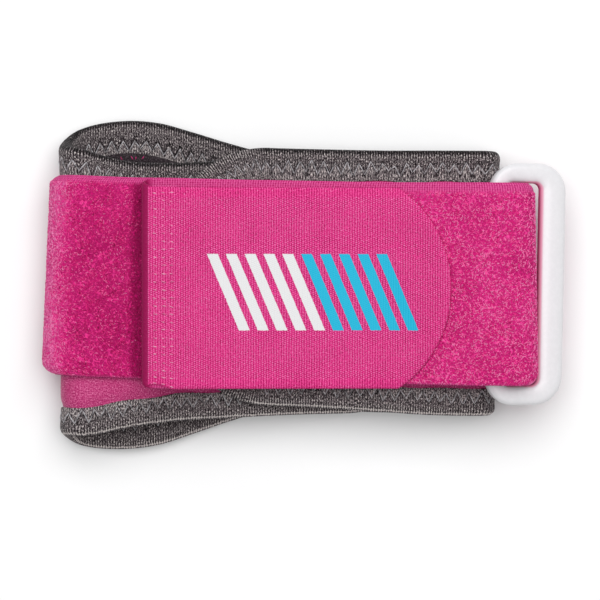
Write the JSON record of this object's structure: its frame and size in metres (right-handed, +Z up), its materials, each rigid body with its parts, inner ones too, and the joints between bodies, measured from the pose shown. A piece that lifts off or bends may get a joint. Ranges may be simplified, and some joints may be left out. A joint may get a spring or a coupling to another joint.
{
  "type": "tennis elbow strap",
  "caption": "Foam forearm band with a bound edge, wrapped by a pile strap that runs through a plastic ring and closes on itself with a round-tipped hook tab.",
  "frame": {"origin": "under the middle of the whole, on the surface that the strap lies on", "axes": "+X along the folded loop, from its plain fold towards the plastic ring; +Y across the strap; +Z up, out of the face that carries the hook tab"},
  "size_m": [0.1298, 0.0814, 0.0263],
  "materials": {
    "foam_band": "matte pink jersey on foam, dark grey lining inside",
    "binding": "matte heathered dark grey ribbed knit with a lighter zigzag seam",
    "pile": "matte pink loop pile, woven on its other side",
    "ring": "glossy white moulded plastic",
    "hook_tape": "matte pink weave with a plain two-colour print"
  },
  "bodies": {
    "root": {"neoprene_band": "foam_band", "edge_binding": "binding", "pile_strap": "pile", "plastic_ring": "ring", "hook_tab": "hook_tape"}
  },
  "joints": []
}
